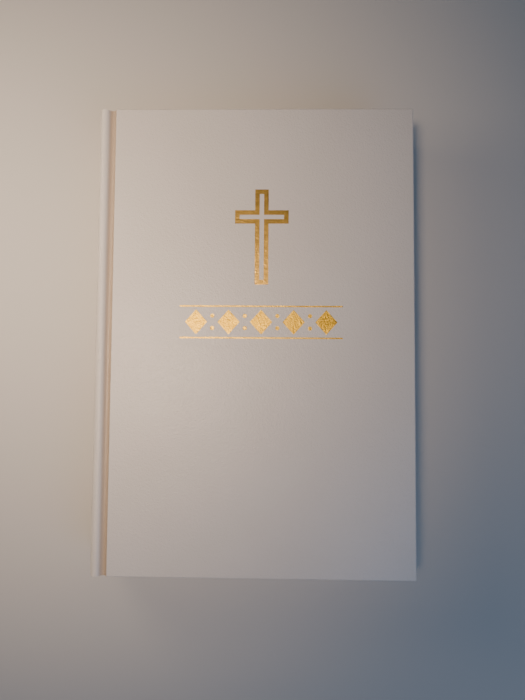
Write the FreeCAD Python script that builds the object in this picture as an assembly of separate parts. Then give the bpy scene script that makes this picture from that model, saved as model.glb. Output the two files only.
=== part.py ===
"""A case-bound bible, closed and lying on its back cover.

Two cloth-covered boards and a curved spine strip make the case. Inside it is a sewn text block of folded
signatures with a rounded spine, lined with gauze and paper, with a headband and a tailband. A gold foil
cross and a gold foil ornament are stamped on the front cover.

Millimetres. +Z is up through the front cover, +Y is the head of the book, and the spine is at -X. The model
is drawn with x = 0 at the shoulder of the text block, then moved so that the origin is at the centre of the
underside's bounding box.
"""

import FreeCAD, Part
import math
import os

Vector = FreeCAD.Vector

# ---- driving dimensions -----------------------------------------------------------------------------------
PAGE_WIDTH = 153.0  # shoulder to fore-edge
PAGE_HEIGHT = 227.0
SIGNATURE_COUNT = 32
SIGNATURE_THICKNESS = 0.8

SQUARE = 3.15  # how far a board stands past the pages
BOARD_THICKNESS = 2.4
BOARD_SETBACK = 6.0  # shoulder to the board's inner edge
SKIN = 0.35  # covering material
TURN_IN_THICKNESS = 0.25
TURN_IN_WIDTH = 15.0
ENDPAPER = 0.2
SPINE_BULGE = 3.5  # how far the rounded spine stands past the shoulders

THREAD = 0.3
THREAD_STATIONS = 6
MULL = 0.22
LINER = 0.3
INLAY = 0.8
HOLLOW = 0.46  # free gap between the lined spine and the inlay
BAND_BEAD = 1.8  # bead of the head and tail bands
BAND_TAPE = 12.0

CREST_RADIUS = 2.6  # roll of the covering over the shoulder
CREST_DROP = 0.2  # the roll's top under the cover's face
GROOVE_RADIUS = 1.6
GROOVE_FLOOR = 0.45  # the groove's bottom, over the board's inner face
GROOVE_RISE_DEG = 66.0  # how steeply the groove climbs to the board
GROOVE_RUN = 0.55  # across, from the groove's curve to the board's covering
AXIS_BACK = 1.5  # cover hinge line, behind the shoulder

FOIL = 0.05
CROSS_HEIGHT = 48.2
CROSS_SPAN = 26.9
CROSS_BAR = 6.8  # width of the stem and of the arms
CROSS_LINE = 2.3  # width of the gold outline round the open middle
CROSS_TOP = 75.2  # above the cover's middle
CROSS_ARM_DROP = 10.6  # top of the cross to the top of the arms
FOIL_CENTRE = 74.4  # board's inner edge to the middle of the stamping
ORNAMENT_WIDTH = 81.0
ORNAMENT_HEIGHT = 16.5
ORNAMENT_MIDDLE = 8.2  # above the cover's middle
ORNAMENT_LOZENGES = 5
LOZENGE_WIDTH = 11.0
RULE = 0.7
DOT_RADIUS = 1.0

LEAF_GAP = 0.05
COVER_GAP = 0.1
FIT = 0.04

# ---- levels, from the table up ----------------------------------------------------------------------------
Z_BACK_BOARD = SKIN
Z_BACK_TURN_IN = Z_BACK_BOARD + BOARD_THICKNESS
Z_BACK_PASTE = Z_BACK_TURN_IN + TURN_IN_THICKNESS
Z_BACK_FLY = Z_BACK_PASTE + ENDPAPER + COVER_GAP
Z_TEXT = Z_BACK_FLY + ENDPAPER + LEAF_GAP
TEXT_THICKNESS = SIGNATURE_COUNT * SIGNATURE_THICKNESS
Z_TEXT_TOP = Z_TEXT + TEXT_THICKNESS
Z_FRONT_FLY = Z_TEXT_TOP + LEAF_GAP
Z_FRONT_PASTE = Z_FRONT_FLY + ENDPAPER + COVER_GAP
Z_FRONT_TURN_IN = Z_FRONT_PASTE + ENDPAPER
Z_FRONT_BOARD = Z_FRONT_TURN_IN + TURN_IN_THICKNESS
Z_TOP = Z_FRONT_BOARD + BOARD_THICKNESS + SKIN
Z_MIDDLE = (Z_TEXT + Z_TEXT_TOP) / 2
Z_FRONT_AXIS = Z_FRONT_PASTE - COVER_GAP / 2
Z_BACK_AXIS = Z_BACK_FLY - COVER_GAP / 2

# ---- plan -------------------------------------------------------------------------------------------------
BOARD_HEIGHT = PAGE_HEIGHT + 2 * SQUARE
CASE_HEIGHT = BOARD_HEIGHT + 2 * SKIN
X_BOARD = BOARD_SETBACK
X_BOARD_END = PAGE_WIDTH + SQUARE
X_CASE_END = X_BOARD_END + SKIN

# ---- the rounded spine: one circle through both shoulders and the crown -----------------------------------
SPINE_RADIUS = (TEXT_THICKNESS**2 / 4 + SPINE_BULGE**2) / (2 * SPINE_BULGE)
SPINE_CENTRE_X = SPINE_RADIUS - SPINE_BULGE
SPINE_HALF_ANGLE = math.asin(TEXT_THICKNESS / 2 / SPINE_RADIUS)
THREAD_OFFSET = FIT + THREAD / 2
MULL_OFFSET = 2 * FIT + THREAD
LINER_OFFSET = MULL_OFFSET + MULL + FIT
INLAY_OFFSET = LINER_OFFSET + LINER + HOLLOW
SPINE_SKIN_OFFSET = INLAY_OFFSET + INLAY
SPINE_OUT = SPINE_SKIN_OFFSET + SKIN

# ---- the origin: the middle of the underside's bounding box ------------------------------------------------
X_SPINE_OUT = -(SPINE_BULGE + SPINE_OUT)
TO_ORIGIN = Vector(-(X_SPINE_OUT + X_CASE_END) / 2, 0, 0)


def write(name, *solids):
    """Moves the solids to the row frame and writes them as one node."""
    shape = solids[0] if len(solids) == 1 else Part.makeCompound(list(solids))
    shape = shape.copy()
    shape.translate(TO_ORIGIN)
    shape.exportStep("parts/" + name + ".step")
    print(name, "solids", len(shape.Solids), "valid", shape.isValid(), "mm3", round(shape.Volume, 1))


def block(x0, x1, y0, y1, z0, z1):
    """A box between two corners."""
    return Part.makeBox(x1 - x0, y1 - y0, z1 - z0, Vector(x0, y0, z0))


def centred(x0, x1, height, z0, z1):
    """A box that is centred along the spine."""
    return block(x0, x1, -height / 2, height / 2, z0, z1)


def spine_x(z, offset=0.0):
    """Where the spine's circle, grown by an offset, stands at a level."""
    return SPINE_CENTRE_X - math.sqrt((SPINE_RADIUS + offset) ** 2 - (z - Z_MIDDLE) ** 2)


def at_spine(radius, angle, y=0.0):
    """A point round the spine's centre; angle 0 is the crown and positive angles go up."""
    return Vector(SPINE_CENTRE_X - radius * math.cos(angle), y, Z_MIDDLE + radius * math.sin(angle))


def spine_shell(offset, thickness, y0, y1, z_low, z_high):
    """A sheet curved round the spine, between two levels."""
    inner = SPINE_RADIUS + offset
    outer = inner + thickness
    reach = min(SPINE_HALF_ANGLE * 1.6, math.pi / 2)
    edges = [
        Part.Arc(at_spine(inner, -reach, y0), at_spine(inner, 0, y0), at_spine(inner, reach, y0)).toShape(),
        Part.makeLine(at_spine(inner, reach, y0), at_spine(outer, reach, y0)),
        Part.Arc(at_spine(outer, reach, y0), at_spine(outer, 0, y0), at_spine(outer, -reach, y0)).toShape(),
        Part.makeLine(at_spine(outer, -reach, y0), at_spine(inner, -reach, y0)),
    ]
    shell = Part.Face(Part.Wire(edges)).extrude(Vector(0, y1 - y0, 0))
    return shell.common(block(-4 * SPINE_BULGE - outer, PAGE_WIDTH, y0, y1, z_low, z_high))


def upside_down(shape):
    """The same shape on the back cover: mirrored through the middle of the thickness."""
    return shape.mirror(Vector(0, 0, Z_TOP / 2), Vector(0, 0, 1))


# ---- text block -------------------------------------------------------------------------------------------
def make_signature(number):
    """One folded section: a stack of leaves with a round fold on the spine's circle, 1 at the front."""
    top = Z_TEXT_TOP - (number - 1) * SIGNATURE_THICKNESS
    low = top - SIGNATURE_THICKNESS
    middle = (top + low) / 2
    fold = spine_x(middle)
    radius = SIGNATURE_THICKNESS / 2
    y = -PAGE_HEIGHT / 2
    end = fold + PAGE_WIDTH
    edges = [
        Part.Arc(Vector(fold + radius, y, low), Vector(fold, y, middle), Vector(fold + radius, y, top)).toShape(),
        Part.makeLine(Vector(fold + radius, y, top), Vector(end, y, top)),
        Part.makeLine(Vector(end, y, top), Vector(end, y, low)),
        Part.makeLine(Vector(end, y, low), Vector(fold + radius, y, low)),
    ]
    return Part.Face(Part.Wire(edges)).extrude(Vector(0, PAGE_HEIGHT, 0))


def make_threads():
    """Chains of sewing thread that cross the folds, one at each sewing station, from the first fold to the last."""
    chains = []
    pitch = PAGE_HEIGHT / THREAD_STATIONS
    radius = SPINE_RADIUS + THREAD_OFFSET
    half_angle = math.asin((TEXT_THICKNESS - SIGNATURE_THICKNESS) / 2 / SPINE_RADIUS)
    for station in range(THREAD_STATIONS):
        y = (station + 0.5) * pitch - PAGE_HEIGHT / 2
        start = at_spine(radius, -half_angle, y)
        circle = Part.Circle(Vector(0, 0, 0), Vector(0, 0, 1), THREAD / 2).toShape()
        section = Part.Face(Part.Wire(circle))
        section.rotate(Vector(0, 0, 0), Vector(0, 1, 0), -math.degrees(half_angle))
        section.translate(start)
        centre = Vector(SPINE_CENTRE_X, y, Z_MIDDLE)
        chains.append(section.revolve(centre, Vector(0, 1, 0), math.degrees(2 * half_angle)))
    return chains


def make_band(side):
    """A head or tail band: a round bead over the folds' ends, and the tape that glues it to the spine."""
    y = side * (PAGE_HEIGHT / 2 + FIT + BAND_BEAD / 2)
    radius = SPINE_RADIUS - BAND_BEAD / 2
    circle = Part.Circle(Vector(0, 0, 0), Vector(0, 0, 1), BAND_BEAD / 2).toShape()
    section = Part.Face(Part.Wire(circle))
    section.rotate(Vector(0, 0, 0), Vector(0, 1, 0), -math.degrees(SPINE_HALF_ANGLE))
    section.translate(at_spine(radius, -SPINE_HALF_ANGLE, y))
    centre = Vector(SPINE_CENTRE_X, y, Z_MIDDLE)
    bead = section.revolve(centre, Vector(0, 1, 0), math.degrees(2 * SPINE_HALF_ANGLE))
    ends = sorted((side * (PAGE_HEIGHT / 2 - BAND_TAPE), y))
    tape = spine_shell(MULL_OFFSET, MULL, ends[0], ends[1], Z_TEXT, Z_TEXT_TOP)
    return bead, tape


def make_mull():
    """The gauze glued along the folds, between the two bands' tapes."""
    half = PAGE_HEIGHT / 2 - BAND_TAPE - FIT
    return spine_shell(MULL_OFFSET, MULL, -half, half, Z_TEXT, Z_TEXT_TOP)


def make_liner():
    """The paper lining over the gauze and the bands' tapes."""
    half = PAGE_HEIGHT / 2
    return spine_shell(LINER_OFFSET, LINER, -half, half, Z_TEXT, Z_TEXT_TOP)


def make_flyleaf():
    """The free half of an endpaper, at the front."""
    start = spine_x(Z_TEXT_TOP - SIGNATURE_THICKNESS / 2)
    return centred(start, start + PAGE_WIDTH, PAGE_HEIGHT, Z_FRONT_FLY, Z_FRONT_FLY + ENDPAPER)


# ---- case -------------------------------------------------------------------------------------------------
def make_board():
    """The grey board of the front cover."""
    return centred(X_BOARD, X_BOARD_END, BOARD_HEIGHT, Z_FRONT_BOARD, Z_FRONT_BOARD + BOARD_THICKNESS)


def make_cover_skin():
    """The covering on the front board, round its three outer edges and turned in on its inner face."""
    outer = centred(X_BOARD, X_CASE_END, CASE_HEIGHT, Z_FRONT_TURN_IN, Z_TOP)
    rounded = outer.makeFillet(
        SKIN,
        [e for e in outer.Edges if e.BoundBox.ZMin > Z_TOP - FIT and e.BoundBox.XMax > X_BOARD + FIT],
    )
    window = centred(
        X_BOARD - SKIN,
        X_BOARD_END - TURN_IN_WIDTH,
        BOARD_HEIGHT - 2 * TURN_IN_WIDTH,
        Z_FRONT_TURN_IN - SKIN,
        Z_FRONT_BOARD,
    )
    return rounded.cut(make_board()).cut(window)


def make_pastedown():
    """The half of the endpaper that is glued down: it laps the turn-ins and fills the window between them."""
    start = X_BOARD - BOARD_SETBACK + AXIS_BACK
    sheet = centred(start, PAGE_WIDTH, PAGE_HEIGHT, Z_FRONT_PASTE, Z_FRONT_PASTE + ENDPAPER)
    pad = centred(
        X_BOARD,
        X_BOARD_END - TURN_IN_WIDTH - FIT,
        BOARD_HEIGHT - 2 * TURN_IN_WIDTH - 2 * FIT,
        Z_FRONT_TURN_IN,
        Z_FRONT_BOARD,
    )
    return sheet.fuse(pad).removeSplitter()


def make_joint():
    """The covering between spine and board: it rolls over the shoulder and dips into the groove."""
    y = -CASE_HEIGHT / 2
    foot_z = Z_FRONT_AXIS - COVER_GAP + FIT
    crest_z = Z_TOP - CREST_DROP - CREST_RADIUS
    groove_z = Z_FRONT_BOARD + GROOVE_FLOOR + GROOVE_RADIUS
    rise = math.radians(GROOVE_RISE_DEG) - math.pi / 2
    groove_x = X_BOARD - SKIN - GROOVE_RUN - GROOVE_RADIUS * math.cos(rise)
    apart = CREST_RADIUS + GROOVE_RADIUS
    crest_x = groove_x - math.sqrt(apart**2 - (groove_z - crest_z) ** 2)
    meet = math.atan2(groove_z - crest_z, groove_x - crest_x)

    def crest(radius, angle):
        return Vector(crest_x + radius * math.cos(angle), y, crest_z + radius * math.sin(angle))

    def groove(radius, angle):
        return Vector(groove_x + radius * math.cos(angle), y, groove_z + radius * math.sin(angle))

    crest_in = CREST_RADIUS - SKIN
    groove_in = GROOVE_RADIUS + SKIN
    left = math.pi - math.asin(max(0.0, foot_z + SKIN - crest_z) / CREST_RADIUS)
    crest_mid = (left + meet) / 2
    groove_start = meet - math.pi
    groove_mid = (groove_start + rise) / 2
    tip_out = Vector(X_BOARD - SKIN, y, Z_TOP - SKIN)
    tip_in = Vector(X_BOARD - FIT, y, Z_TOP - 2 * SKIN)
    foot_in = Vector(spine_x(foot_z, SPINE_SKIN_OFFSET), y, foot_z)
    foot_out = Vector(spine_x(foot_z, SPINE_OUT), y, foot_z)
    edges = [
        Part.Arc(
            crest(CREST_RADIUS, left),
            crest(CREST_RADIUS, crest_mid),
            crest(CREST_RADIUS, meet),
        ).toShape(),
        Part.Arc(
            groove(GROOVE_RADIUS, groove_start),
            groove(GROOVE_RADIUS, groove_mid),
            groove(GROOVE_RADIUS, rise),
        ).toShape(),
        Part.makeLine(groove(GROOVE_RADIUS, rise), tip_out),
        Part.makeLine(tip_out, tip_in),
        Part.makeLine(tip_in, groove(groove_in, rise)),
        Part.Arc(
            groove(groove_in, rise),
            groove(groove_in, groove_mid),
            groove(groove_in, groove_start),
        ).toShape(),
        Part.Arc(crest(crest_in, meet), crest(crest_in, crest_mid), crest(crest_in, left)).toShape(),
        Part.makeLine(crest(crest_in, left), foot_in),
        Part.makeLine(foot_in, foot_out),
        Part.makeLine(foot_out, crest(CREST_RADIUS, left)),
    ]
    return Part.Face(Part.Wire(edges)).extrude(Vector(0, CASE_HEIGHT, 0))


def make_inlay():
    """The card strip that stiffens the case's spine."""
    half = BOARD_HEIGHT / 2
    return spine_shell(INLAY_OFFSET, INLAY, -half, half, Z_BACK_AXIS + COVER_GAP, Z_FRONT_AXIS - COVER_GAP)


def make_spine_skin():
    """The covering on the spine: its outer sheet, its two ends, and the turn-ins behind the card strip."""
    low = Z_BACK_AXIS + COVER_GAP
    high = Z_FRONT_AXIS - COVER_GAP
    half = CASE_HEIGHT / 2
    sheet = spine_shell(SPINE_SKIN_OFFSET, SKIN, -half, half, low, high)
    behind = INLAY_OFFSET - TURN_IN_THICKNESS
    for side in (-1, 1):
        ends = sorted((side * half, side * BOARD_HEIGHT / 2))
        edge = spine_shell(behind, SPINE_SKIN_OFFSET - behind, ends[0], ends[1], low, high)
        ends = sorted((side * BOARD_HEIGHT / 2, side * (BOARD_HEIGHT / 2 - TURN_IN_WIDTH)))
        turned = spine_shell(behind, TURN_IN_THICKNESS, ends[0], ends[1], low, high)
        sheet = sheet.fuse(edge).fuse(turned)
    return sheet.removeSplitter()


# ---- stamping ---------------------------------------------------------------------------------------------
def make_cross():
    """A gold outline of a latin cross, with an open middle."""
    x = X_BOARD + FOIL_CENTRE
    z0, z1 = Z_TOP, Z_TOP + FOIL

    def latin(inset):
        half_bar = CROSS_BAR / 2 - inset
        stem = block(x - half_bar, x + half_bar, CROSS_TOP - CROSS_HEIGHT + inset, CROSS_TOP - inset, z0, z1)
        arm_top = CROSS_TOP - CROSS_ARM_DROP - inset
        arm_low = CROSS_TOP - CROSS_ARM_DROP - CROSS_BAR + inset
        half_span = CROSS_SPAN / 2 - inset
        return stem.fuse(block(x - half_span, x + half_span, arm_low, arm_top, z0, z1)).removeSplitter()

    return latin(0.0).cut(latin(CROSS_LINE))


def make_ornament():
    """A stamped band: lozenges with small dots between them, under and over a thin rule."""
    centre = X_BOARD + FOIL_CENTRE
    up = Vector(0, 0, FOIL)
    pieces = []
    for side in (-1, 1):
        y = ORNAMENT_MIDDLE + side * (ORNAMENT_HEIGHT - RULE) / 2
        half = ORNAMENT_WIDTH / 2
        pieces.append(block(centre - half, centre + half, y - RULE / 2, y + RULE / 2, Z_TOP, Z_TOP + FOIL))
    pitch = ORNAMENT_WIDTH / ORNAMENT_LOZENGES
    half_y = ORNAMENT_HEIGHT / 2 - 3 * RULE
    half_x = LOZENGE_WIDTH / 2
    for number in range(ORNAMENT_LOZENGES):
        x = centre + (number - (ORNAMENT_LOZENGES - 1) / 2) * pitch
        corners = [
            Vector(x - half_x, ORNAMENT_MIDDLE, Z_TOP),
            Vector(x, ORNAMENT_MIDDLE + half_y, Z_TOP),
            Vector(x + half_x, ORNAMENT_MIDDLE, Z_TOP),
            Vector(x, ORNAMENT_MIDDLE - half_y, Z_TOP),
            Vector(x - half_x, ORNAMENT_MIDDLE, Z_TOP),
        ]
        pieces.append(Part.Face(Part.makePolygon(corners)).extrude(up))
    for number in range(ORNAMENT_LOZENGES - 1):
        x = centre + (number + 1 - ORNAMENT_LOZENGES / 2) * pitch
        for y in (ORNAMENT_MIDDLE - half_y / 2, ORNAMENT_MIDDLE + half_y / 2):
            pieces.append(Part.makeCylinder(DOT_RADIUS, FOIL, Vector(x, y, Z_TOP)))
    return pieces


def main():
    """Builds every piece and writes one file a node."""
    os.makedirs("parts", exist_ok=True)
    for number in range(1, SIGNATURE_COUNT + 1):
        write("signature_%02d" % number, make_signature(number))
    write("sewing_threads", *make_threads())
    write("mull", make_mull())
    write("spine_liner", make_liner())
    write("headband", *make_band(1))
    write("tailband", *make_band(-1))
    for side, place in (("front", lambda shape: shape), ("back", upside_down)):
        write(side + "_board", place(make_board()))
        write(side + "_cover_skin", place(make_cover_skin()))
        write(side + "_pastedown", place(make_pastedown()))
        write(side + "_joint", place(make_joint()))
        write(side + "_flyleaf", place(make_flyleaf()))
    write("spine_inlay", make_inlay())
    write("spine_skin", make_spine_skin())
    write("foil_cross", make_cross())
    write("foil_ornament", *make_ornament())


main()
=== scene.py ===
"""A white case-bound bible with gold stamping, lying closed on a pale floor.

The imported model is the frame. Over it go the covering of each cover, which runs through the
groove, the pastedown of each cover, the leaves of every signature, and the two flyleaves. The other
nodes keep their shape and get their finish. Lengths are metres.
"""

from __future__ import annotations

import logging
import math
import random
from dataclasses import dataclass, field
from enum import Enum

import bmesh
import bpy
from mathutils import Matrix, Vector

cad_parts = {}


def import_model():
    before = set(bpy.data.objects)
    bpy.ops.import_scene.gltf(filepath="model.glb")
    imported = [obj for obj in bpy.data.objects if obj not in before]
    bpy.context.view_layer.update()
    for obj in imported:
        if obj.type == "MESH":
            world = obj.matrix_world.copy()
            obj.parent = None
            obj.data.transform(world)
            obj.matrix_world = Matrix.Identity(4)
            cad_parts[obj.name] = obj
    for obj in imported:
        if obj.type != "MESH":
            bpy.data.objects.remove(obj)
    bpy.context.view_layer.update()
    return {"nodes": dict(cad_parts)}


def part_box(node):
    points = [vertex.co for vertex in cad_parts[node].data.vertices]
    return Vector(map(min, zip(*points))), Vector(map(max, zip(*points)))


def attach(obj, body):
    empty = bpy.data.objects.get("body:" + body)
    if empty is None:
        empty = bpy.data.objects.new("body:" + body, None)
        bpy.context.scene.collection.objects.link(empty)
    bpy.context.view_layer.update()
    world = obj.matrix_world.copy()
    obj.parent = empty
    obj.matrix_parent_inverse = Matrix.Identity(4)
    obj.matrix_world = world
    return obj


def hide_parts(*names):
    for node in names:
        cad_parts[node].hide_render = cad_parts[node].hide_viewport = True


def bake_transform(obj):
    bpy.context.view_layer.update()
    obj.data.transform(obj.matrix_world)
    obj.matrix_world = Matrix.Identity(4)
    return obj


log = logging.getLogger("bible")
MM = 0.001
NEAR = 1e-6  # two places closer than this are one
LEVEL = 1e-7  # a face this near a level lies on it
SHARP_ANGLE = math.radians(40)

GROOVE_SHADE = "groove_shade"  # attribute: how much painted shade the covering gets, 1 in the groove
MOTTLE = 0.2  # how far the random mottle of the flat covering leans to the dark colour
SHEEN_ROUGHNESS = 0.4
COAT_ROUGHNESS = 0.35
WAVE_DISTORTION = 0.15


class Side(Enum):
    """Which cover a piece belongs to."""

    FRONT = "front"
    BACK = "back"


class Pattern(Enum):
    """The small-scale surface of a finish."""

    LEATHERETTE = "leatherette"
    LEAVES = "leaves"
    FIBRE = "fibre"
    WEAVE = "weave"
    STRIPES = "stripes"
    FOIL = "foil"


@dataclass(frozen=True)
class Graph:
    """The node tree of one material, and the socket with its Object coordinates."""

    nodes: bpy.types.Nodes
    links: bpy.types.NodeLinks
    place: bpy.types.NodeSocket

    def stretched(self, scale: tuple[float, float, float]) -> bpy.types.NodeSocket:
        """Scales the coordinates.

        Args:
            scale: The factor along each axis.

        Returns:
            The socket with the scaled coordinates.
        """
        mapping = self.nodes.new("ShaderNodeMapping")
        mapping.inputs["Scale"].default_value = scale
        self.links.new(self.place, mapping.inputs["Vector"])
        return mapping.outputs["Vector"]

    def noise(
        self, scale: float, detail: float = 3.0, where: bpy.types.NodeSocket | None = None
    ) -> bpy.types.NodeSocket:
        """Adds a noise.

        Args:
            scale: Its frequency, per metre.
            detail: Its octaves.
            where: The coordinates it reads, if not the object's own.

        Returns:
            The socket with its value.
        """
        made = self.nodes.new("ShaderNodeTexNoise")
        made.inputs["Scale"].default_value = scale
        made.inputs["Detail"].default_value = detail
        self.links.new(where or self.place, made.inputs["Vector"])
        return made.outputs["Fac"]

    def cells(self, scale: float) -> bpy.types.NodeSocket:
        """Adds cells that rise from their borders.

        Args:
            scale: Their frequency, per metre.

        Returns:
            The socket with the distance to the nearest border.
        """
        made = self.nodes.new("ShaderNodeTexVoronoi")
        made.feature = "DISTANCE_TO_EDGE"
        made.inputs["Scale"].default_value = scale
        self.links.new(self.place, made.inputs["Vector"])
        return made.outputs["Distance"]

    def bands(self, direction: str, scale: float) -> bpy.types.NodeSocket:
        """Adds parallel bands.

        Args:
            direction: The axis they follow one another along.
            scale: Their frequency.

        Returns:
            The socket with their value.
        """
        made = self.nodes.new("ShaderNodeTexWave")
        made.bands_direction = direction
        made.inputs["Scale"].default_value = scale
        made.inputs["Distortion"].default_value = WAVE_DISTORTION
        self.links.new(self.place, made.inputs["Vector"])
        return made.outputs["Fac"]

    def joined(
        self, operation: str, first: bpy.types.NodeSocket, second: bpy.types.NodeSocket | float
    ) -> bpy.types.NodeSocket:
        """Joins two values.

        Args:
            operation: How, as the math node names it.
            first: A socket.
            second: Another, or a number.

        Returns:
            The socket with the result.
        """
        made = self.nodes.new("ShaderNodeMath")
        made.operation = operation
        self.links.new(first, made.inputs[0])
        if isinstance(second, float):
            made.inputs[1].default_value = second
        else:
            self.links.new(second, made.inputs[1])
        return made.outputs[0]


@dataclass(frozen=True)
class Finish:
    """One procedural finish: two colours that a pattern mixes, and a relief."""

    name: str
    pattern: Pattern
    light: tuple[float, float, float]
    dark: tuple[float, float, float]
    roughness: float
    metallic: float = 0.0
    sheen: float = 0.0
    coat: float = 0.0
    relief: float = 0.2
    depth: float = 0.05 * MM

    def material(self) -> bpy.types.Material:
        """Builds the material.

        Returns:
            A node material whose pattern reads Object coordinates.
        """
        made = bpy.data.materials.new(self.name)
        made.use_nodes = True
        nodes, links = made.node_tree.nodes, made.node_tree.links
        shader = nodes["Principled BSDF"]
        shader.inputs["Roughness"].default_value = self.roughness
        shader.inputs["Metallic"].default_value = self.metallic
        shader.inputs["Sheen Weight"].default_value = self.sheen
        shader.inputs["Sheen Roughness"].default_value = SHEEN_ROUGHNESS
        shader.inputs["Coat Weight"].default_value = self.coat
        shader.inputs["Coat Roughness"].default_value = COAT_ROUGHNESS
        place = nodes.new("ShaderNodeTexCoord")
        tint, height = self._pattern(Graph(nodes, links, place.outputs["Object"]))
        mix = nodes.new("ShaderNodeMix")
        mix.data_type = "RGBA"
        mix.inputs["A"].default_value = (*self.light, 1.0)
        mix.inputs["B"].default_value = (*self.dark, 1.0)
        links.new(tint, mix.inputs["Factor"])
        links.new(mix.outputs["Result"], shader.inputs["Base Color"])
        bump = nodes.new("ShaderNodeBump")
        bump.inputs["Strength"].default_value = self.relief
        bump.inputs["Distance"].default_value = self.depth
        links.new(height, bump.inputs["Height"])
        links.new(bump.outputs["Normal"], shader.inputs["Normal"])
        return made

    def _pattern(self, graph: Graph) -> tuple[bpy.types.NodeSocket, bpy.types.NodeSocket]:
        """Adds the pattern's nodes. Every scale in it is a frequency, per metre.

        Args:
            graph: The material's nodes.

        Returns:
            The socket that mixes the colours, and the one that raises the relief.
        """
        if self.pattern is Pattern.LEATHERETTE:
            # painted shade: the groove attribute darkens the covering towards its dark colour, over
            # the random mottle
            groove_shade = graph.nodes.new("ShaderNodeAttribute")
            groove_shade.attribute_name = GROOVE_SHADE
            mottle = graph.joined("MULTIPLY", graph.noise(26.0), MOTTLE)
            tint = graph.joined("MAXIMUM", mottle, groove_shade.outputs["Fac"])
            return tint, graph.joined("ADD", graph.cells(1100.0), graph.noise(700.0))
        if self.pattern is Pattern.LEAVES:
            across = graph.stretched((25.0, 25.0, 16000.0))
            lines = graph.noise(1.0, 2.0, across)
            return lines, lines
        if self.pattern is Pattern.WEAVE:
            weave = graph.joined("MULTIPLY", graph.bands("Y", 260.0), graph.bands("Z", 260.0))
            return weave, weave
        if self.pattern is Pattern.STRIPES:
            stripes = graph.bands("Z", 110.0)
            return stripes, stripes
        if self.pattern is Pattern.FOIL:
            return graph.noise(420.0, 5.0), graph.noise(1300.0, 4.0)
        return graph.noise(60.0), graph.noise(1600.0, 5.0)


COVERING = Finish(
    "white_leatherette",
    Pattern.LEATHERETTE,
    light=(0.74, 0.71, 0.68),
    # the dark colour serves the random mottle and the painted shade in the groove
    dark=(0.50, 0.40, 0.30),
    roughness=0.38,
    sheen=0.1,
    coat=0.15,
    relief=1.0,
    depth=0.16 * MM,
)
GOLD = Finish(
    "gold_foil",
    Pattern.FOIL,
    light=(0.86, 0.56, 0.14),
    dark=(0.38, 0.23, 0.05),
    roughness=0.32,
    metallic=1.0,
    relief=1.0,
    depth=0.14 * MM,
)
# the ornament's gold: the gold foil made lighter, a painted highlight for the brighter reflection
# the ornament catches
GOLD_WITH_PAINTED_HIGHLIGHT = Finish(
    "gold_foil_painted_highlight",
    Pattern.FOIL,
    light=(0.88, 0.58, 0.07),
    dark=(0.50, 0.30, 0.03),
    roughness=0.38,
    metallic=1.0,
    relief=1.0,
    depth=0.2 * MM,
)
BIBLE_PAPER = Finish(
    "bible_paper",
    Pattern.LEAVES,
    light=(0.80, 0.75, 0.65),
    dark=(0.48, 0.43, 0.35),
    roughness=0.80,
    relief=0.5,
    depth=0.1 * MM,
)
ENDPAPER = Finish(
    "endpaper", Pattern.FIBRE, light=(0.82, 0.79, 0.73), dark=(0.75, 0.72, 0.66), roughness=0.85
)
GREY_BOARD = Finish(
    "grey_board",
    Pattern.FIBRE,
    light=(0.36, 0.33, 0.29),
    dark=(0.24, 0.22, 0.19),
    roughness=0.90,
    relief=0.5,
)
CARD = Finish(
    "spine_card",
    Pattern.FIBRE,
    light=(0.54, 0.46, 0.35),
    dark=(0.42, 0.36, 0.27),
    roughness=0.88,
    relief=0.4,
)
GAUZE = Finish(
    "gauze",
    Pattern.WEAVE,
    light=(0.78, 0.75, 0.68),
    dark=(0.42, 0.39, 0.33),
    roughness=0.90,
    sheen=0.2,
    relief=0.8,
    depth=0.2 * MM,
)
SILK = Finish(
    "silk_band",
    Pattern.STRIPES,
    light=(0.84, 0.81, 0.74),
    dark=(0.56, 0.40, 0.14),
    roughness=0.45,
    sheen=0.5,
    relief=0.8,
    depth=0.2 * MM,
)
THREAD = Finish(
    "waxed_thread",
    Pattern.FIBRE,
    light=(0.80, 0.77, 0.70),
    dark=(0.62, 0.59, 0.52),
    roughness=0.60,
    sheen=0.2,
    relief=0.5,
)


def finished(
    mesh: bmesh.types.BMesh, name: str, material: bpy.types.Material
) -> bpy.types.Object:
    """Makes an object of a bmesh, shaded smooth but for its corners.

    Args:
        mesh: The shape, which is freed.
        name: The piece's name.
        material: Its finish.

    Returns:
        The linked object.
    """
    bmesh.ops.recalc_face_normals(mesh, faces=mesh.faces)
    data = bpy.data.meshes.new(name)
    mesh.to_mesh(data)
    mesh.free()
    data.materials.append(material)
    data.polygons.foreach_set("use_smooth", [True] * len(data.polygons))
    data.set_sharp_from_angle(angle=SHARP_ANGLE)
    piece = bpy.data.objects.new(name, data)
    bpy.context.scene.collection.objects.link(piece)
    log.info("%s: %d faces", name, len(data.polygons))
    return piece


def add_block(mesh: bmesh.types.BMesh, low: Vector, high: Vector) -> None:
    """Adds a box between two corners.

    Args:
        mesh: Where it goes.
        low: The lowest corner.
        high: The highest corner.
    """
    size = high - low
    place = Matrix.Translation((low + high) / 2) @ Matrix.Diagonal((*size, 1.0))
    bmesh.ops.create_cube(mesh, size=1.0, matrix=place)


def cut_across(mesh: bmesh.types.BMesh, x: float) -> None:
    """Cuts a whole mesh across, so that it can bend there.

    Args:
        mesh: The shape.
        x: Where, along X.
    """
    geometry = [*mesh.verts, *mesh.edges, *mesh.faces]
    point, normal = Vector((x, 0, 0)), Vector((1, 0, 0))
    bmesh.ops.bisect_plane(mesh, geom=geometry, plane_co=point, plane_no=normal)


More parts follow.
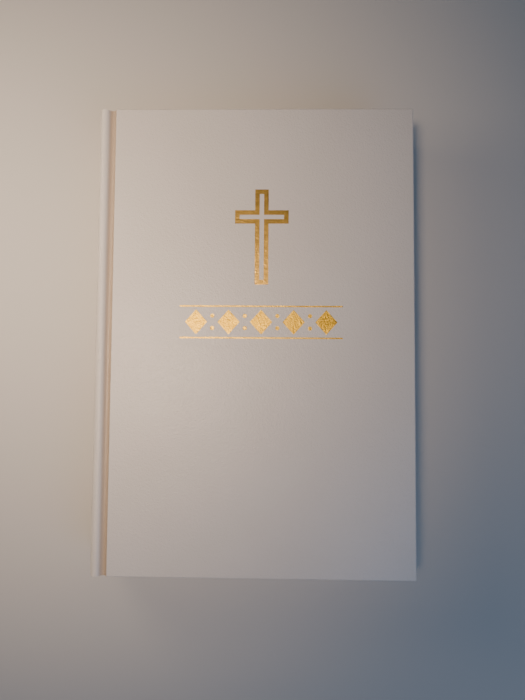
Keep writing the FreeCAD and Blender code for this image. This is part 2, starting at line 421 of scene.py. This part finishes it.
@dataclass
class Covering:
    """The leatherette of one cover, from the spine over the roll and groove and round the board."""

    side: Side
    skin: float = 0.35 * MM
    crest_radius: float = 2.6 * MM
    crest_drop: float = 0.2 * MM
    groove_radius: float = 1.6 * MM
    groove_floor: float = 0.45 * MM
    groove_run: float = 0.55 * MM
    groove_rise: float = math.radians(66)
    turn_in: float = 15.0 * MM
    edge_round: float = 0.7 * MM
    edge_segments: int = 4
    arc_steps: int = 10
    wall: float = 0.9  # share of the skin that the shell fills, clear of the board
    joint_cuts: int = 14
    bend_from_spine: float = 0.4 * MM
    bend_to_board: float = 0.2 * MM
    shade_begins: float = 4.6 * MM  # the painted groove shade begins this far before the board; the next two are before it too
    shade_full: float = 3.2 * MM
    shade_ends: float = 0.1 * MM

    def build(self, material: bpy.types.Material, paper: bpy.types.Material) -> None:
        """Builds the covering, through the groove, and the pastedown, and bakes both in place.

        Args:
            material: The leatherette.
            paper: The finish of the pastedown.
        """
        skin_low, skin_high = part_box("front_cover_skin")
        joint_low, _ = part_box("front_joint")
        board_low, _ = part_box("front_board")
        mesh = bmesh.new()
        self._wrap(mesh, skin_low, skin_high)
        self._strip(mesh, skin_low, skin_high, joint_low, board_low.z)
        bmesh.ops.solidify(mesh, geom=mesh.faces[:], thickness=self.skin * self.wall)
        if self.side is Side.BACK:
            middle = (board_low.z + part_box("back_board")[1].z) / 2
            over = Matrix.Translation((0, 0, 2 * middle)) @ Matrix.Diagonal((1, 1, -1, 1))
            bmesh.ops.transform(mesh, matrix=over, verts=mesh.verts)
        name = self.side.value
        piece = finished(mesh, name + "_covering", material)
        # painted shade in the groove
        self._paint_groove_shade(piece, skin_low.x)
        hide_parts(name + "_cover_skin", name + "_joint")
        self._bend(piece)
        lining = self._pastedown(paper, board_low)
        self._bend(lining)

    def _bend(self, piece: bpy.types.Object) -> None:
        """Bakes a piece's transform into its mesh; it does not bend it.

        Args:
            piece: The covering or the pastedown.
        """
        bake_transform(piece)

    def _pastedown(self, paper: bpy.types.Material, board: Vector) -> bpy.types.Object:
        """Builds the glued half of the endpaper, and its fill between the turn-ins.

        Args:
            paper: Its finish.
            board: The front board's lowest corner.

        Returns:
            The piece.
        """
        name = self.side.value
        low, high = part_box(name + "_pastedown")
        leaf_low, leaf_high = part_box(name + "_flyleaf")
        front = self.side is Side.FRONT
        inner, outer = (low.z, high.z) if front else (high.z, low.z)
        sheet = (leaf_high.z - leaf_low.z) * (1.0 if front else -1.0)
        mesh = bmesh.new()
        under, over = sorted((inner, inner + sheet))
        add_block(mesh, Vector((low.x, low.y, under)), Vector((high.x, high.y, over)))
        for step in range(1, self.joint_cuts + 1):
            cut_across(mesh, low.x + (board.x - low.x) * step / self.joint_cuts)
        skin_low, skin_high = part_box(name + "_cover_skin")
        edge = self.turn_in + self.skin
        under, over = sorted((inner + sheet, outer))
        add_block(
            mesh,
            Vector((board.x, skin_low.y + edge, under)),
            Vector((skin_high.x - edge, skin_high.y - edge, over)),
        )
        piece = finished(mesh, name + "_lining", paper)
        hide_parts(name + "_pastedown")
        return piece

    def _paint_groove_shade(self, piece: bpy.types.Object, board: float) -> None:
        """Paints shade into the groove: an attribute that darkens the covering's colour there.

        Args:
            piece: The covering.
            board: Where the board begins, along X.
        """
        groove_shade = piece.data.attributes.new(GROOVE_SHADE, "FLOAT", "POINT")
        begins, full = board - self.shade_begins, board - self.shade_full
        ends = board - self.shade_ends
        for vertex, value in zip(piece.data.vertices, groove_shade.data):
            share = min(1.0, max(0.0, (vertex.co.x - begins) / (full - begins)))
            value.value = share if vertex.co.x < ends else 0.0

    def _wrap(self, mesh: bmesh.types.BMesh, low: Vector, high: Vector) -> None:
        """Adds the sheet round the board: its face, its three outer edges and the turn-ins.

        Args:
            mesh: Where it goes.
            low: The lowest corner of the covered board.
            high: The highest corner.
        """
        add_block(mesh, low, high)
        towards_spine = [f for f in mesh.faces if f.normal.x < -0.5]
        bmesh.ops.delete(mesh, geom=towards_spine, context="FACES_ONLY")
        outer = [e for e in mesh.edges if len(e.link_faces) == 2]
        bmesh.ops.bevel(
            mesh,
            geom=outer,
            offset=self.edge_round,
            segments=self.edge_segments,
            affect="EDGES",
            profile=0.5,
            material=-1,
        )
        cuts = (
            (Vector((high.x - self.turn_in, 0, 0)), Vector((1, 0, 0))),
            (Vector((0, high.y - self.turn_in, 0)), Vector((0, 1, 0))),
            (Vector((0, low.y + self.turn_in, 0)), Vector((0, -1, 0))),
        )
        for point, normal in cuts:
            under = self._inside_faces(mesh, low.z)
            around = dict.fromkeys(g for f in under for g in (*f.verts, *f.edges))
            bmesh.ops.bisect_plane(mesh, geom=[*around, *under], plane_co=point, plane_no=normal)
        window = []
        for face in self._inside_faces(mesh, low.z):
            centre = face.calc_center_median()
            between = low.y + self.turn_in < centre.y < high.y - self.turn_in
            if between and centre.x < high.x - self.turn_in:
                window.append(face)
        bmesh.ops.delete(mesh, geom=window, context="FACES")

    @staticmethod
    def _inside_faces(mesh: bmesh.types.BMesh, level: float) -> list[bmesh.types.BMFace]:
        """Finds the faces on the board's inner side.

        Args:
            mesh: The sheet round the board.
            level: The level of that side.

        Returns:
            The faces.
        """
        return [f for f in mesh.faces if f.calc_center_median().z < level + LEVEL]

    def _strip(
        self,
        mesh: bmesh.types.BMesh,
        low: Vector,
        high: Vector,
        foot: Vector,
        board_inner: float,
    ) -> None:
        """Adds the sheet from the spine to the board, over the roll and through the groove.

        Args:
            mesh: Where it goes.
            low: The lowest corner of the covered board.
            high: The highest corner.
            foot: The joint's lowest corner, where it meets the spine's covering.
            board_inner: The level of the board's inner face.
        """
        rise = self.groove_rise - math.pi / 2
        crest_z = high.z - self.crest_drop - self.crest_radius
        groove_z = board_inner + self.groove_floor + self.groove_radius
        groove_x = low.x - self.skin - self.groove_run - self.groove_radius * math.cos(rise)
        apart = self.crest_radius + self.groove_radius
        crest_x = groove_x - math.sqrt(apart**2 - (groove_z - crest_z) ** 2)
        meet = math.atan2(groove_z - crest_z, groove_x - crest_x)
        crest = Vector((crest_x, low.y, crest_z))
        groove = Vector((groove_x, low.y, groove_z))
        shoulder = Vector((low.x, low.y, high.z - self.skin))

        before = set(mesh.edges)
        last = mesh.verts.new((foot.x, low.y, foot.z))
        last = self._run_to(mesh, last, crest - Vector((self.crest_radius, 0, 0)))
        last = self._turn(mesh, last, crest, math.pi - meet)
        last = self._turn(mesh, last, groove, meet - math.pi - rise)
        last = self._run_to(mesh, last, shoulder - Vector((self.skin, 0, 0)))
        self._turn(mesh, last, shoulder, math.pi / 2)
        outline = [e for e in mesh.edges if e not in before]
        swept = bmesh.ops.extrude_edge_only(mesh, edges=outline)["geom"]
        ends = [g for g in swept if isinstance(g, bmesh.types.BMVert)]
        bmesh.ops.translate(mesh, vec=Vector((0, high.y - low.y, 0)), verts=ends)
        strip = [g for g in swept if isinstance(g, bmesh.types.BMFace)]
        for face in strip:
            face.normal_update()
        if max(strip, key=lambda f: f.calc_center_median().z).normal.z < 0:
            bmesh.ops.reverse_faces(mesh, faces=strip)

    @staticmethod
    def _run_to(
        mesh: bmesh.types.BMesh, last: bmesh.types.BMVert, place: Vector
    ) -> bmesh.types.BMVert:
        """Carries the outline straight on.

        Args:
            mesh: Where it is.
            last: Its last vertex.
            place: Where the next one goes.

        Returns:
            The new last vertex.
        """
        made = bmesh.ops.extrude_vert_indiv(mesh, verts=[last])["verts"][0]
        made.co = place
        return made

    def _turn(
        self, mesh: bmesh.types.BMesh, last: bmesh.types.BMVert, centre: Vector, angle: float
    ) -> bmesh.types.BMVert:
        """Carries the outline round an arc.

        Args:
            mesh: Where it is.
            last: Its last vertex.
            centre: The arc's centre.
            angle: How far it turns about Y.

        Returns:
            The new last vertex.
        """
        done = bmesh.ops.spin(
            mesh,
            geom=[last],
            cent=centre,
            axis=Vector((0, 1, 0)),
            angle=angle,
            steps=self.arc_steps,
        )
        return next(g for g in done["geom_last"] if isinstance(g, bmesh.types.BMVert))


@dataclass
class Leaves:
    """The folded leaves of every signature, and the two flyleaves."""

    seed: int = 7
    leaves: int = 8
    fold: float = 1.2 * MM
    fold_gap: float = 0.05 * MM  # clear of the sewing
    fold_round: float = 0.495  # share of the thickness
    fold_segments: int = 4
    ragged: float = 0.12 * MM
    free: float = 0.55  # share of its pitch that a leaf fills
    bend: float = 26.0 * MM
    bend_cuts: int = 12
    turning: int = 4  # signatures at the front that are cut for bending and not attached to the text block
    gutter: float = field(init=False)  # where every leaf begins to bend, along X
    draw: random.Random = field(init=False)

    def __post_init__(self) -> None:
        """Seeds the unevenness of the edges and finds the gutter."""
        self.draw = random.Random(self.seed)
        self.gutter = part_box("signature_01")[0].x + self.fold

    def build(
        self,
        nodes: dict[str, bpy.types.Object],
        paper: bpy.types.Material,
        endpaper: bpy.types.Material,
    ) -> None:
        """Builds every signature and both flyleaves.

        Args:
            nodes: The frame's objects by node.
            paper: The finish of the signatures.
            endpaper: The finish of the flyleaves.
        """
        names = sorted(name for name in nodes if name.startswith("signature_"))
        for number, node in enumerate(names, 1):
            self._signature(number, node, paper)
        for side in Side:
            self._flyleaf(side, endpaper)

    def _signature(self, number: int, node: str, paper: bpy.types.Material) -> None:
        """Builds one signature: a rounded fold and its thin leaves.

        Args:
            number: Its place, 1 at the front.
            node: The node it stands for.
            paper: Its finish.
        """
        low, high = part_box(node)
        low = low + Vector((self.fold_gap, 0, 0))
        mesh = bmesh.new()
        self._add_fold(mesh, low, high)
        pitch = (high.z - low.z) / self.leaves
        for leaf in range(self.leaves):
            z = low.z + (leaf + (1 - self.free) / 2) * pitch
            short = self.draw.random() * self.ragged
            trim = self.draw.random() * self.ragged / 2
            add_block(
                mesh,
                Vector((low.x + self.fold / 2, low.y + trim, z)),
                Vector((high.x - short, high.y - trim, z + self.free * pitch)),
            )
        moves = number <= self.turning
        if moves:
            self._cut_for_bend(mesh)
        piece = finished(mesh, "leaves_%02d" % number, paper)
        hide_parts(node)
        if moves:
            self._blend(piece)
        else:
            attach(piece, "text_block")

    def _add_fold(self, mesh: bmesh.types.BMesh, low: Vector, high: Vector) -> None:
        """Adds the fold, rounded along the two edges of its back.

        Args:
            mesh: The signature, still empty.
            low: The signature's lowest corner.
            high: Its highest corner.
        """
        add_block(mesh, low, Vector((low.x + self.fold, high.y, high.z)))
        back = []
        for edge in mesh.edges:
            first, second = edge.verts[0].co, edge.verts[1].co
            behind = abs(first.x - low.x) < NEAR and abs(second.x - low.x) < NEAR
            if behind and abs(first.z - second.z) < NEAR:
                back.append(edge)
        bmesh.ops.bevel(
            mesh,
            geom=back,
            offset=(high.z - low.z) * self.fold_round,
            segments=self.fold_segments,
            affect="EDGES",
            profile=0.5,
            material=-1,
        )

    def _flyleaf(self, side: Side, endpaper: bpy.types.Material) -> None:
        """Builds the free half of one endpaper.

        Args:
            side: Which end of the book.
            endpaper: Its finish.
        """
        node = side.value + "_flyleaf"
        low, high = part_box(node)
        mesh = bmesh.new()
        add_block(mesh, low, high)
        self._cut_for_bend(mesh)
        piece = finished(mesh, side.value + "_free_endpaper", endpaper)
        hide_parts(node)
        self._blend(piece)

    def _cut_for_bend(self, mesh: bmesh.types.BMesh) -> None:
        """Cuts the leaves across, near the gutter, where they bend.

        Args:
            mesh: The leaves.
        """
        for step in range(self.bend_cuts + 1):
            cut_across(mesh, self.gutter + self.bend * step / self.bend_cuts)

    def _blend(self, piece: bpy.types.Object) -> None:
        """Bakes a piece's transform into its mesh; it does not bend it.

        Args:
            piece: The leaves.
        """
        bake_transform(piece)


@dataclass(frozen=True)
class Dressing:
    """The finish of each node that keeps its shape."""

    finishes: tuple[tuple[Finish, tuple[str, ...]], ...] = (
        (COVERING, ("spine_skin",)),
        (GOLD, ("foil_cross",)),
        # the ornament gets the gold with the painted highlight
        (GOLD_WITH_PAINTED_HIGHLIGHT, ("foil_ornament",)),
        (ENDPAPER, ("spine_liner",)),
        (GREY_BOARD, ("front_board", "back_board")),
        (CARD, ("spine_inlay",)),
        (GAUZE, ("mull",)),
        (SILK, ("headband", "tailband")),
        (THREAD, ("sewing_threads",)),
    )

    def apply(
        self, nodes: dict[str, bpy.types.Object], made: dict[str, bpy.types.Material]
    ) -> None:
        """Puts each finish on its nodes.

        Args:
            nodes: The frame's objects by node.
            made: The materials by finish name.
        """
        for finish, names in self.finishes:
            for name in names:
                for slot in nodes[name].material_slots:
                    slot.material = made[finish.name]
                log.info("%s: %s", name, finish.name)


@dataclass(frozen=True)
class Lamp:
    """One soft square light."""

    name: str
    place: tuple[float, float, float]
    size: float
    power: float
    colour: tuple[float, float, float]
    aim: tuple[float, float, float] = (0.0, 0.0, 0.0)
    spread_deg: float = 180.0

    def build(self) -> None:
        """Adds the light to the scene, facing its aim."""
        data = bpy.data.lights.new(self.name, "AREA")
        data.spread = math.radians(self.spread_deg)
        data.shape = "SQUARE"
        data.size = self.size
        data.energy = self.power
        data.color = self.colour
        lamp = bpy.data.objects.new(self.name, data)
        lamp.location = self.place
        facing = Vector(self.aim) - Vector(self.place)
        lamp.rotation_euler = facing.to_track_quat("-Z", "Y").to_euler()
        bpy.context.scene.collection.objects.link(lamp)


@dataclass(frozen=True)
class Studio:
    """The floor, the lights and the camera."""

    eye: tuple[float, float, float] = (0.0112, -0.0191, 0.2929)
    tilt_deg: tuple[float, float, float] = (2.96, 1.12, 0.43)
    lens: float = 27.05
    sensor: float = 36.0
    clip_start: float = 10.0 * MM
    floor_size: float = 4.0
    floor_colour: tuple[float, float, float] = (0.62, 0.60, 0.57)
    floor_roughness: float = 0.8
    sky_colour: tuple[float, float, float] = (0.60, 0.78, 1.0)
    sky_strength: float = 0.12
    lamps: tuple[Lamp, ...] = (
        Lamp("rake", (-0.24, 0.12, 0.16), 0.14, 0.30, (1.0, 0.78, 0.55)),
        Lamp(
            "beam",
            (-0.127, -0.02, 0.55),
            0.10,
            0.33,
            (1.0, 0.74, 0.53),
            aim=(-0.115, 0.04, 0.03),
            spread_deg=58.0,
        ),
        Lamp("fill", (0.45, -0.50, 0.60), 0.60, 1.7, (0.44, 0.62, 1.0)),
    )

    def build(self) -> None:
        """Makes the whole setting."""
        self._floor()
        for lamp in self.lamps:
            lamp.build()
        self._sky()
        self._camera()

    def _sky(self) -> None:
        """Makes the cool light from all round."""
        world = bpy.data.worlds.new("studio")
        world.use_nodes = True
        back = world.node_tree.nodes["Background"]
        back.inputs["Color"].default_value = (*self.sky_colour, 1.0)
        back.inputs["Strength"].default_value = self.sky_strength
        bpy.context.scene.world = world

    def _camera(self) -> None:
        """Places the camera above the book."""
        data = bpy.data.cameras.new("camera")
        data.lens = self.lens
        data.sensor_width = self.sensor
        data.clip_start = self.clip_start
        camera = bpy.data.objects.new("camera", data)
        camera.location = self.eye
        camera.rotation_euler = [math.radians(angle) for angle in self.tilt_deg]
        bpy.context.scene.collection.objects.link(camera)
        bpy.context.scene.camera = camera

    def _floor(self) -> None:
        """Makes the plain pale floor under the book."""
        mesh = bmesh.new()
        bmesh.ops.create_grid(mesh, x_segments=1, y_segments=1, size=self.floor_size / 2)
        data = bpy.data.meshes.new("floor")
        mesh.to_mesh(data)
        mesh.free()
        material = bpy.data.materials.new("floor")
        material.use_nodes = True
        shader = material.node_tree.nodes["Principled BSDF"]
        shader.inputs["Base Color"].default_value = (*self.floor_colour, 1.0)
        shader.inputs["Roughness"].default_value = self.floor_roughness
        data.materials.append(material)
        floor = bpy.data.objects.new("floor", data)
        bpy.context.scene.collection.objects.link(floor)


def main() -> None:
    """Builds the book in order."""
    logging.basicConfig(level=logging.INFO, format="%(message)s")
    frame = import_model()
    finishes = (
        COVERING,
        GOLD,
        GOLD_WITH_PAINTED_HIGHLIGHT,
        BIBLE_PAPER,
        ENDPAPER,
        GREY_BOARD,
        CARD,
        GAUZE,
        SILK,
        THREAD,
    )
    made = {finish.name: finish.material() for finish in finishes}
    for side in Side:
        Covering(side).build(made[COVERING.name], made[ENDPAPER.name])
    Leaves().build(frame["nodes"], made[BIBLE_PAPER.name], made[ENDPAPER.name])
    Dressing().apply(frame["nodes"], made)
    Studio().build()


if __name__ == "__main__":
    main()
